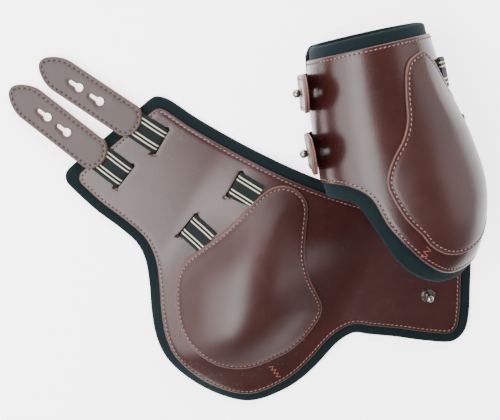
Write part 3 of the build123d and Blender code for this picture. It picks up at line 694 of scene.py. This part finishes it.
def half_sheet(name, loop, holes, side, top, bottom, edge, relief, materials, rows):
    """One half of an open sheet, cut cleanly along the leg's axis so that the halves meet without a step."""
    step, grid = 2.4, 3.6
    slot_lip, slot_rows, slot_clear = 0.5, (1.2, 2.4), 3.2
    dip, dip_reach = 0.3, 3.5
    cut_clear, cut_row_clear = 1.6, 1.0
    run, start, end = half_of(loop, side)
    run = resample(run, step, closed=False)
    count = int(norm(end - start) / step)
    axis = [end + (start - end) * k / count for k in range(1, count)]
    rim = np.vstack([run, axis])
    inside_run = len(run)
    holes = [h for h in holes if leg_frame(h)[1].mean() * side > 0]
    along = np.roll(rim, -1, 0) - np.roll(rim, 1, 0)
    along[0], along[inside_run - 1] = rim[1] - rim[0], rim[inside_run - 1] - rim[inside_run - 2]
    along /= norm(along, axis=1)[:, None]
    left = np.stack([-along[:, 1], along[:, 0]], 1)
    left[inside_run:] = 0
    down = (end - start) / norm(end - start)
    for k in (0, inside_run - 1):
        share = left[k] @ down
        left[k] = down * (1 / share if abs(share) > 0.4 else np.sign(share))
    edge_rims = [rim + left * amount for amount, _ in edge]
    hole_rims = [turned_left(resample(h, 1.0))[::-1] for h in holes]
    points = lattice(rim.min(0), rim.max(0), grid)
    v = leg_frame(points)[1] * side
    keep = within(points, rim) & (away(points, loop) > max(rows) + RIM_CLEAR) & (v > cut_clear)
    free = [points[keep]]
    for row in rows:
        ring = inset(loop, row, step)
        free.append(ring[leg_frame(ring)[1] * side > cut_row_clear])
    free = np.vstack(free)
    for other in hole_rims:
        free = free[~within(free, other) & (away(free, other) > slot_clear)]
        free = np.vstack([free] + [inward(resample(other, 2.0), amount) for amount in slot_rows])
    plan, faces = triangles([edge_rims[0]] + [inward(h, slot_lip) for h in hole_rims], free)
    n = len(plan)
    gap = away(plan, loop)
    crown = relief(plan, gap)
    for other in hole_rims:
        near = np.clip(1 - away(plan, other) / dip_reach, 0, 1)
        crown = crown - dip * near ** 2
    verts = [open_surface(plan, top + crown), open_surface(plan, np.full(n, float(bottom)))]
    uvs = [plan, plan]
    all_faces = [tuple(f) for f in faces] + [tuple(f[::-1] + n) for f in faces]
    kinds = [0] * len(all_faces)
    size = len(rim)
    count, previous = 2 * n, np.arange(size)
    rim_top = top + crown[:size]
    for (amount, share), ring in zip(edge[1:-1], edge_rims[1:-1]):
        verts.append(open_surface(ring, rim_top + (bottom - rim_top) * share))
        uvs.append(ring)
        here = np.arange(count, count + size)
        count += size
        all_faces += ring_faces(previous[:inside_run], here[:inside_run], closed=False)
        previous = here
    all_faces += ring_faces(previous[:inside_run], np.arange(inside_run) + n, closed=False)
    start = size
    for other in hole_rims:
        here = np.arange(start, start + len(other))
        all_faces += ring_faces(here, here + n)
        start += len(other)
    kinds += [1] * (len(all_faces) - len(kinds))
    plans = np.vstack(uvs)
    made = new_object(name, np.vstack(verts), all_faces, materials, kinds, plans)

    # Both halves take the whole sheet's normals along the cut, so that it doesn't show.
    cut_reach, rim_clear = 0.3, 6
    mesh = made.data
    whole = normals(open_surface, plans, 0.0)
    chosen = np.array([vertex.normal for vertex in mesh.vertices])
    is_top = np.arange(len(chosen)) < n
    on_cut = (np.abs(leg_frame(plans)[1]) < cut_reach) & (away(plans, loop) > rim_clear)
    chosen[on_cut & is_top] = whole[on_cut & is_top]
    chosen[on_cut & ~is_top] = -whole[on_cut & ~is_top]
    mesh.normals_split_custom_set_from_vertices([tuple(v) for v in chosen])
    return made


def slot_loop(centre, angle):
    """A slot for an elastic, round at both ends."""
    half, wide = 13.0, 1.2
    flat = half - wide
    turns = [(pi * k / 11, flat) for k in range(12)] + [(pi + pi * k / 11, -flat) for k in range(12)]
    x, y = np.array([(wide * cos(a), end + wide * sin(a)) for a, end in turns]).T
    c, s = cos(angle), sin(angle)
    return np.column_stack([x * c - y * s + centre[0], x * s + y * c + centre[1]])


slot_holes = []
for name, (inner, outer) in SLOTS.items():
    turn = atan2(inner[1] - outer[1], inner[0] - outer[0])
    slot_holes += [slot_loop(inner, turn), slot_loop(outer, turn)]


def groove(gap, seam, depth, wide):
    """What a seam's tight threads press into the leather."""
    return -depth * np.exp(-((gap - seam) / wide) ** 2)


def bevel(gap, reach, depth):
    """How far a surface drops towards its edge."""
    return depth * np.clip(1 - gap / reach, 0, 1) ** 2


def shell_relief(plan, gap):
    return groove(gap, SHELL_SEAM, 0.35, 0.9) - bevel(gap, 2.0, 0.25)


def lining_relief(plan, gap):
    """Swells a little between its edge and the stitched edge of the leather, which pinches it."""
    return -bevel(gap, 3.2, 0.5)


def pad_relief(plan, gap):
    """Crowned from just inside its seam."""
    rise = np.clip((gap - 3.6) / 34.0, 0, 1)
    swell = 3.0 * np.sin(rise * pi / 2) ** 1.3
    return swell + groove(gap, PAD_SEAM, 0.4, 1.0) - bevel(gap, 1.6, 0.3)


def tab_relief(plan, gap):
    return groove(gap, TAB_SEAM, 0.32, 0.8) - bevel(gap, 2.2, 0.3)


folds = {}
for word, side in (("strap", -1), ("stud", 1)):
    body = f"{word}_wing"
    centre = np.array([CUP_CENTRE[0] + side * FOLD * sin(LEG), CUP_CENTRE[1] - side * FOLD * cos(LEG), 0.0])
    away_from = np.array([side * sin(LEG), -side * cos(LEG), 0.0])
    folds[body] = [tuple(place(centre + away_from * k)) for k in (-FOLD_REACH, FOLD_REACH)]
    base = half_sheet(
        f"{word}_half_lining", LINING_LOOP, [], side, LINING - INSIDE, INSIDE, NEOPRENE_EDGE, lining_relief,
        [NEOPRENE, NEOPRENE], LINING_ROWS,
    )
    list(folds[body])
    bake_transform(base)
    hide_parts(f"{body}_lining", "cup_lining")
    skin = half_sheet(
        f"{word}_half_shell", SHELL_LOOP, slot_holes, side, SHELL_TOP, LINING - SINK, LEATHER_EDGE, shell_relief,
        [SHELL, SHELL_EDGE], SHELL_ROWS,
    )
    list(folds[body])
    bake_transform(skin)
    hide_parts(f"{body}_shell", "cup_shell")
    run, _, _ = half_of(turned_left(inset(SHELL_LOOP, SHELL_SEAM)), side)
    sewn = stitches(f"{word}_half_stitching", run, open_surface, SHELL_TOP - THREAD_DEPTH, THREAD, closed=False)
    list(folds[body])
    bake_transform(sewn)


pad = sheet_mesh(
    "open_pad", PAD_LOOP, [], open_surface, SHELL_TOP + PAD_RIM, SHELL_TOP + JOIN,
    PAD_EDGE, pad_relief, [PAD_LEATHER, EDGE], grid=3.0, step=2.0, rows=PAD_ROWS,
)
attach(pad, "open_boot")
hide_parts("strike_pad", "impact_insert")
sewn = stitches("open_pad_stitching", inset(PAD_LOOP, PAD_SEAM), open_surface, SHELL_TOP + PAD_THREAD, THREAD)
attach(sewn, "open_boot")


DART_RISE = 0.1
ZIG_LIFTS = (-0.25, 0.12, 0.2, 0.12, -0.25)
ZIG_RADIUS = 0.36


def zigzag(name, a, b, surface, height, body, reach=2.0):
    """A dart closed with a zigzag of bright thread between two plan points."""
    pitch = 2.1
    a, b = np.array(a, float), np.array(b, float)
    length = norm(b - a)
    ahead = (b - a) / length
    left = np.array([-ahead[1], ahead[0]])
    count = int(length / pitch)
    corners = [
        a + ahead * (length * k / count) + left * (reach if k % 2 else -reach) for k in range(count + 1)
    ]
    verts, faces = [], []
    rings = len(ZIG_LIFTS)
    for p, q in zip(corners, corners[1:]):
        run = np.array([p + (q - p) * share for share in np.linspace(0, 1, rings)])
        up = normals(surface, run, height)
        line = surface(run, np.full(rings, float(height))) + up * np.array(ZIG_LIFTS)[:, None]
        whole = line[-1] - line[0]
        side = np.cross(up[rings // 2], whole / norm(whole))
        faces += tube_faces(len(verts), rings, SIDES)
        for c, u in zip(line, up):
            for k in range(SIDES):
                verts.append(c + side * (ZIG_RADIUS * cos(pi * k / 3)) + u * (ZIG_RADIUS * sin(pi * k / 3)))
    made = new_object(name, np.array(verts), faces, [DART_THREAD], None, np.zeros((len(verts), 2)))
    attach(made, body)


zigzag("open_dart_left", (-73.5, -115.5), (-63.0, -109.5), open_surface, SHELL_TOP + DART_RISE, "open_boot")
zigzag("open_dart_right", (27.0, -155.0), (18.5, -141.0), open_surface, SHELL_TOP + DART_RISE, "open_boot")

# ---- elastics and tabs

# (distance from the slot, height) of the sewn elastics above the leather, and of the free ones above the floor
LEAD_PATH = (
    (0, -2.3), (0, -1.0), (0.3, 0.1), (1.0, 0.75), (2.4, 0.95), (5, 0.95), (9, 0.95), (13, 0.95), (17, 0.95),
    (21, 0.95), (23, 0.95),
)
FREE_PATH = ((-0.6, 6.4), (-0.5, 7.2), (0.0, 8.0), (1.2, 8.7), (3, 9.1), (8, 9.6), (13, 9.7), (17, 9.4), (21, 8.95))
IN_TAB = (-1, 2, 5, 9, 11)  # distances past the knee


def strap_frame(name, outer):
    """Ways out along a free elastic, across it, down its tab and up from its tab, and the knee where the tab starts."""
    out = np.array([cos(ANGLES[name]), sin(ANGLES[name]), 0.0])
    across = np.array([-out[1], out[0], 0.0])
    run_dir = out * cos(DROP) - np.array([0, 0, sin(DROP)])
    up = np.array([0, 0, cos(DROP)]) + out * sin(DROP)
    return out, across, run_dir, up, np.array([*outer, SHELL_TOP + LIFT]) + out * KNEE


for name, (inner, outer) in SLOTS.items():
    inner, outer = np.array(inner), np.array(outer)
    ahead = (inner - outer) / norm(inner - outer)
    left = np.array([-ahead[1], ahead[0], 0.0])
    lead = []
    for d, h in LEAD_PATH:
        p = inner + ahead * d
        lead.append((*p, cup(p[None])[0] + SHELL_TOP + h))
    band = ribbon(f"{name}_elastic_lead", lead, left, SEWN_WIDTH, WEB, ELASTIC_WEB)
    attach(band, "open_boot")
    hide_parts(f"{name}_elastic_anchor", f"{name}_elastic_run")

    out, across, run_dir, up, knee = strap_frame(name, outer)
    free = [np.array([*outer, 0.0]) + out * d + [0, 0, z] for d, z in FREE_PATH]
    free += [knee + run_dir * d + up * (ELASTIC / 2) for d in IN_TAB]
    band = ribbon(f"{name}_free_elastic", free, across, FREE_WIDTH, WEB, ELASTIC_WEB)
    # the free elastic's far end runs on into its tab
    slot = np.array([*outer, SHELL_TOP + LIFT])
    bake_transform(band)
    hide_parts(f"{name}_strap_elastic")


def tab_loop(start, tip):
    """Outline of a tab, square with rounded corners at the elastic and pointed at the tip."""
    half = TAB_WIDTH / 2
    shoulder = ((0, 0), (0.9, 5.5), (3.2, 10), (6.2, 13.2), (10, half))
    point = ((20, half - 0.2), (14, 13.3), (9, 10.9), (5, 8.2), (2.0, 5.3), (0.4, 2.4))
    points = [(start + x, y) for x, y in shoulder]
    points += [(x, half) for x in np.linspace(start + 16, tip - 26, 9)]
    points += [(tip - x, y) for x, y in point]
    mirror = [(x, -y) for x, y in points[1:][::-1]]
    return smooth(points + [(tip, 0)] + mirror, 1.2)


def keyhole_loop(hole):
    """Round at the elastic's end, then a narrow slot towards the tip."""
    corner = float(np.sqrt(HOLE_RADIUS ** 2 - (KEY_WIDTH / 2) ** 2))
    angle = atan2(KEY_WIDTH / 2, corner)
    end = hole + KEY_STEP
    sides = np.linspace(hole + corner + 0.8, end - 0.4, 6)
    loop = [(hole + HOLE_RADIUS * cos(a), HOLE_RADIUS * sin(a)) for a in np.linspace(angle, 2 * pi - angle, 26)]
    loop += [(x, -KEY_WIDTH / 2) for x in sides]
    loop += [(end + KEY_WIDTH / 2 * cos(a), KEY_WIDTH / 2 * sin(a)) for a in np.linspace(-pi / 2, pi / 2, 10)]
    loop += [(x, KEY_WIDTH / 2) for x in sides[::-1]]
    return np.array(loop)


def tab(name, body, start, surface, back_nodes, face_nodes):
    """Two leathers sewn together round the elastic's end, with two keyholes."""
    outline = tab_loop(start, TAB_TIP)
    holes = [keyhole_loop(k) for k in KEYHOLES]
    leathers = [TAB_LEATHER_SHEEN, EDGE]
    back = sheet_mesh(
        f"{name}_back", outline, holes, surface, TAB_BACKING, TAB_UNDER, TAB_EDGE, None, leathers, grid=3.0, step=1.5,
    )
    face = sheet_mesh(
        f"{name}_front", outline, holes, surface, TAB_BACKING + TAB_FACE + TAB_PROUD, TAB_BACKING + JOIN, TAB_EDGE,
        tab_relief, leathers, grid=2.6, step=1.5, rows=TAB_ROWS,
    )
    sewn = stitches(
        f"{name}_stitching", inset(outline, TAB_SEAM), surface, TAB_BACKING + TAB_FACE - TAB_THREAD_DEPTH,
        TAB_THREAD, pitch=4.7, length=2.6, thick=0.34, hole_shade_radius=1.12,
    )
    for piece, nodes in ((back, back_nodes), (face, face_nodes), (sewn, ())):
        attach(piece, body)
        if nodes:
            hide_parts(*nodes)


for name, (inner, outer) in SLOTS.items():
    out, across, run_dir, up, knee = strap_frame(name, outer)

    def tab_surface(points, height, knee=knee, run_dir=run_dir, across=across, up=up):
        height = np.broadcast_to(height, (len(points),))
        x, y = points[:, 0][:, None], points[:, 1][:, None]
        return knee + (x - KNEE) * run_dir + y * across + height[:, None] * up

    tab(f"{name}_tab_visual", f"{name}_tab", TAB_START, tab_surface, [f"{name}_tab_backing"], [f"{name}_tab_face"])

# ---- closed boot

# Bottom edges as (s, w), from front to back
SHELL_BOTTOM = np.array((
    (100, -11), (104, 7.5), (116.2, 23.7), (141.1, 32.6), (165.3, 47), (180.4, 58.5), (192, 72), (195, 84.4),
    (191, 102),
))
LINING_BOTTOM = np.array((
    (113, -11), (119, 9.5), (141.4, 21.5), (173, 34.8), (189, 48), (199, 64), (201.5, 80), (199, 93), (192, 106),
))
# Heights from the leather's top, and the angles that the sheets run between
LEATHER_UNDER = -2.5
LINING_OUTER, LINING_INNER = -2.6, -7.35
LINING_RISE = 3.4  # of the lining's rim on the far side
LINING_ANGLES = (-2.62, pi + 0.66)
SHELL_ANGLES = (-2.33, pi + 0.48)


def bottom_at(edge, angle, height):
    """s of the bottom edge at an angle round the boot."""
    curve = smooth(edge, 2.0, closed=False)
    s = 150.0
    for _ in range(40):
        w, _h = oval_point(np.array([[angle * ROUND, s]]), np.array([height]))
        s += 0.5 * (float(np.interp(w[0], curve[:, 1], curve[:, 0])) - s)
    return s


def closed_loop(top, edge, between, height, rise=0.0):
    """Pattern outline of a closed sheet between two angles."""
    low_angle, high_angle = between
    corner = 5.0
    angles = np.linspace(low_angle, high_angle, 150)
    bottom = [(a * ROUND, bottom_at(edge, a, height)) for a in angles]
    loop = [(low_angle * ROUND, s) for s in np.linspace(top + corner, bottom[0][1] - corner, 40)]
    loop += bottom[3:-3]
    loop += [(high_angle * ROUND, s) for s in np.linspace(bottom[-1][1] - corner, top + corner, 40)]
    loop += [(a * ROUND, top - rise * max(0.0, -sin(a)) ** 0.7) for a in angles[::-1][3:-3]]
    return smooth(resample(np.array(loop), 3.0), 1.5)


closed_lining_loop = closed_loop(-BORDER, LINING_BOTTOM, LINING_ANGLES, LEATHER_UNDER, LINING_RISE)
closed_shell_loop = closed_loop(0.0, SHELL_BOTTOM, SHELL_ANGLES, 0.0)
base = sheet_mesh(
    "closed_lining_visual", closed_lining_loop, [], closed_surface, LINING_OUTER, LINING_INNER, NEOPRENE_EDGE,
    lining_relief, [NEOPRENE, NEOPRENE], grid=4.0, rows=LINING_ROWS,
)
skin = sheet_mesh(
    "closed_shell_visual", closed_shell_loop, [], closed_surface, 0.0, LEATHER_UNDER, LEATHER_EDGE,
    shell_relief, [SHELL, SHELL_EDGE], grid=3.6, rows=SHELL_ROWS,
)
seam = inset(closed_shell_loop, SHELL_SEAM)
sewn = stitches("closed_shell_stitching", seam, closed_surface, -THREAD_DEPTH, THREAD)
for piece, nodes, slot in (
    (base, ["closed_lining"], "neoprene"), (skin, ["closed_shell"], "shell_leather"), (sewn, [], "shell_leather"),
):
    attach(piece, "closed_boot")
    if nodes:
        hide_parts(*nodes)

# The strike pad's edge as (s, w) in side view, down the near side, round the tip and back up the far side
NEAR_EDGE = (
    (12, 86.6), (16.8, 74.2), (24.7, 69.6), (42.7, 65.8), (61.9, 63.1), (75.6, 57.1), (88.6, 47), (101.7, 40.2),
    (110, 39.0), (128.3, 43.7), (140.2, 48.6), (153.9, 57.4), (165.7, 63.6),
)
TIP_EDGE = ((174, 73.2), (177.6, 81.1), (178.9, 90.6), (176.9, 101.2), (171.3, 109.9), (163.8, 114.9))
TIP_END = (0.0, 158.5)  # where the two sides meet at the back, as a pattern point
FAR_EDGE = ((146, 113), (125, 111), (90, 109), (66, 107))
TOP_EDGE = ((47, 103.6), (38.3, 100.4), (30.2, 97.6), (23.9, 95.4), (18.8, 92.6), (14, 89.5))
pad_pattern = [pattern_at(s, w) for s, w in NEAR_EDGE]
pad_pattern += [pattern_at(s, w, 1, PAD_RIM) for s, w in TIP_EDGE] + [TIP_END]
pad_pattern += [pattern_at(s, w, -1) for s, w in FAR_EDGE]
pad_pattern += [pattern_at(s, w) for s, w in TOP_EDGE]
closed_pad_loop = turned_left(smooth(pad_pattern, 1.5))
pad = sheet_mesh(
    "closed_pad_visual", closed_pad_loop, [], closed_surface, PAD_RIM, JOIN,
    PAD_EDGE, pad_relief, [PAD_LEATHER, EDGE], grid=3.0, step=2.0, rows=PAD_ROWS,
)
sewn = stitches("closed_pad_stitching", inset(closed_pad_loop, PAD_SEAM), closed_surface, PAD_THREAD, THREAD)
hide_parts("closed_pad", "closed_insert")
for piece in (pad, sewn):
    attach(piece, "closed_boot")

DART = (pattern_at(166, 62.3), pattern_at(173.6, 55.8))
zigzag("closed_dart", *DART, closed_surface, DART_RISE, "closed_boot", reach=2.6)

STUD_LIFT = 0.6
WASHER = 1.2
PLAY = 0.2
STRAIGHT = 8.0  # an h where the tabs run straight up; the studs are at h 0
ELASTIC_SHIFT = 8.0  # along s, from a stud to its strap's elastic
ENGAGED = KEYHOLES[0] + KEY_STEP - KEY_WIDTH / 2 + PLAY  # a tab's x where it sits on its stud
# Name, the stud's s, the tab's slope, the inner slot's angle and the outer slot's w
CLOSED_STRAPS = (("upper", 25.0, -0.11, -0.445, 37.0), ("lower", 74.5, -0.05, -0.81, 33.0))
OVAL_CENTRE, OVAL_SEMI = 44.75, 56.25  # of the far side, in w, where the outer slots are
UNDER_ANGLES = (66, 62, 54, 46, 38, 31)  # where a tab lies against the far side, before it turns up
UNDER_GAP = 1.3
TAB_TUCK = 2.0  # from the end of a tab's path to the tab


def closed_tab(s, slope):
    """The tab's surface: under the boot, round its front and straight up past the stud."""
    front, back, half = [float(np.interp(s, STATIONS[:, 0], STATIONS[:, k])) for k in (1, 2, 3)]
    semi, centre = (back - front + LAP) / 2, (back + front - LAP) / 2
    bend = [
        (centre - (semi + UNDER_GAP) * cos(radians(a)), -(half + UNDER_GAP) * sin(radians(a))) for a in UNDER_ANGLES
    ]
    w_up = front - (STUD_LIFT + WASHER + PLAY)
    bend += [(w_up + 0.05, -7), (w_up, -1), (w_up, 8), (w_up, 20), (w_up, 60)]
    path = smooth(bend, 0.8, closed=False)
    run = np.concatenate([[0], np.cumsum(np.hypot(*np.diff(path, axis=0).T))])
    run += ENGAGED - float(np.interp(STRAIGHT, path[:, 1], run)) + STRAIGHT
    along = AXIS_S + AXIS_W * slope
    along /= norm(along)

    def surface(points, height):
        x, y = points[:, 0], points[:, 1]
        height = np.broadcast_to(height, (len(points),))
        w, h = np.interp(x, run, path[:, 0]), np.interp(x, run, path[:, 1])
        dw = np.interp(x + 0.7, run, path[:, 0]) - np.interp(x - 0.7, run, path[:, 0])
        dh = np.interp(x + 0.7, run, path[:, 1]) - np.interp(x - 0.7, run, path[:, 1])
        size = np.maximum(1e-6, np.hypot(dw, dh))
        w, h = w - dh / size * height, h + dw / size * height
        middle = BOOT + AXIS_S * s
        return middle + w[:, None] * AXIS_W + h[:, None] * AXIS_H - y[:, None] * along

    return surface, run[0]


for name, s, slope, slot_angle, outer_w in CLOSED_STRAPS:
    surface, first = closed_tab(s, slope)
    nodes = [f"closed_{name}_tab_backing"], [f"closed_{name}_tab_face"]
    tab(f"closed_{name}_tab_visual", "closed_boot", first + TAB_TUCK, surface, *nodes)
    middle = s + ELASTIC_SHIFT

    def band_point(angle, height, middle=middle):
        return closed_surface(np.array([[angle * ROUND, middle]]), np.array([height]))[0]

    # from under the pad round the back to the inner slot, highest halfway
    pad_angle, in_pad = 0.5, 0.42
    lead = []
    for a in np.linspace(in_pad, slot_angle + 0.05, 16):
        share = min(1.0, max(0.0, (pad_angle - a) / (pad_angle - slot_angle)))
        lead.append(band_point(a, 1.4 + 2.0 * sin(pi * share)))
    lead += [band_point(slot_angle + d, h) for d, h in ((0.02, 0.8), (0, -0.4), (-0.003, -2.6))]
    # from the outer slot to the tab
    slot_out = -np.arccos((outer_w - OVAL_CENTRE) / OVAL_SEMI)
    rest = [band_point(slot_out + d, h) for d, h in ((0.003, -2.6), (0, -0.4), (-0.02, 0.8))]
    rest += [band_point(a, 1.2) for a in np.linspace(slot_out - 0.05, slot_out - 0.5, 8)]
    for word, line in (("lead", lead), ("rest", rest)):
        piece = ribbon(f"closed_{name}_elastic_{word}", line, AXIS_S, SEWN_WIDTH, WEB, ELASTIC_WEB)
        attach(piece, "closed_boot")
        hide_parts(f"closed_{name}_elastic")

for node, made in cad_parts.items():
    if any(word in node for word in ("stud", "washer", "plate")) and "wing" not in node:
        made.data.materials.clear()
        made.data.materials.append(NICKEL)

# ---- stage, lights and camera

bpy.ops.mesh.primitive_plane_add(size=60.0, location=(0, 0, 0))
floor = bpy.context.object
floor.name = "floor"
material, nodes, shader = tree_of("floor")
tune(shader, Base_Color=(0.9, 0.9, 0.9, 1), Roughness=0.9, Emission_Color=(1, 1, 1, 1), Emission_Strength=2.5)
floor.data.materials.append(material)


def softbox(name, at, target, size, power):
    """A rectangular light that faces a point."""
    light = bpy.data.lights.new(name, "AREA")
    light.shape = "RECTANGLE"
    light.size, light.size_y = size
    light.energy = power
    lamp = bpy.data.objects.new(name, light)
    bpy.context.scene.collection.objects.link(lamp)
    lamp.location = at
    lamp.rotation_euler = (Vector(target) - Vector(at)).to_track_quat("-Z", "Y").to_euler()


# The two key lights make the soft highlights on the open wing and along the closed boot.
softbox("key_high", (-0.348, -0.104, 0.983), (0.074, 0.014, 0.228), (1.5, 0.45), 21)
softbox("key_low", (-0.809, -0.233, 0.708), (-0.387, -0.115, -0.047), (1.5, 0.65), 17.5)
softbox("fill", (1.05, 0.12, 0.60), (0.1, 0.0, 0.05), (1.0, 0.8), 5.5)
softbox("top", (0.1, 1.5, 0.95), (0.0, 0.0, 0.0), (1.8, 0.6), 60)
world = bpy.data.worlds.new("studio")
bpy.context.scene.world = world
world.use_nodes = True
background = world.node_tree.nodes["Background"]
tune(background, Color=(1, 1, 1, 1), Strength=0.28)

TILT = radians(12)
DISTANCE = 850
lens = bpy.data.cameras.new("camera")
lens.lens = 68.0
lens.sensor_width = 36.0
lens.clip_start = 0.01
camera = bpy.data.objects.new("camera", lens)
bpy.context.scene.collection.objects.link(camera)
camera.location = tuple(place(np.array([0.0, DISTANCE * sin(TILT), DISTANCE * cos(TILT)])))
camera.rotation_euler = (-TILT, 0, 0)
bpy.context.scene.camera = camera
